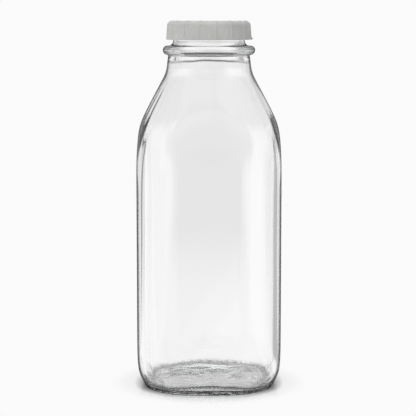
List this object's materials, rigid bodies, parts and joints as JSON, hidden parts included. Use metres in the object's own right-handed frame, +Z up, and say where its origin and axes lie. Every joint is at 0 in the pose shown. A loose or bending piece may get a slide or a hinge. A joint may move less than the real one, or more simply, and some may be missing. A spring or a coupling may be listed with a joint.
{
  "type": "glass milk bottle",
  "caption": "Square glass milk bottle with rounded corners, a sloping shoulder, a beaded round neck and a low ribbed plastic screw cap over a foam liner.",
  "frame": {"origin": "middle of the base, on the surface that the bottle stands on", "axes": "+Z up along the axis of the bottle and neck; +X and +Y square to two flat sides, with -Y the front"},
  "size_m": [0.09, 0.09, 0.2298],
  "materials": {
    "clear_glass": "clear moulded soda-lime glass, slightly wavy inside",
    "cap_plastic": "light grey moulded polyethylene, satin",
    "liner_foam": "white foamed polyethylene"
  },
  "bodies": {
    "bottle": {"glass_bottle": "clear_glass"},
    "liner": {"cap_liner": "liner_foam"},
    "cap": {"cap_shell": "cap_plastic"}
  },
  "joints": [
    {"name": "cap_lift", "type": "slide", "parent": "bottle", "child": "liner", "axis": [0, 0, 1], "range_m": [0, 0.015]},
    {"name": "cap_turn", "type": "hinge", "parent": "liner", "child": "cap", "pos_m": [0, 0, 0.2276], "axis": [0, 0, 1], "range_deg": [0, 450]}
  ],
  "couplings": [
    {"joint": "cap_lift", "follows": "cap_turn", "m_per_rad": 0.0019099}
  ]
}
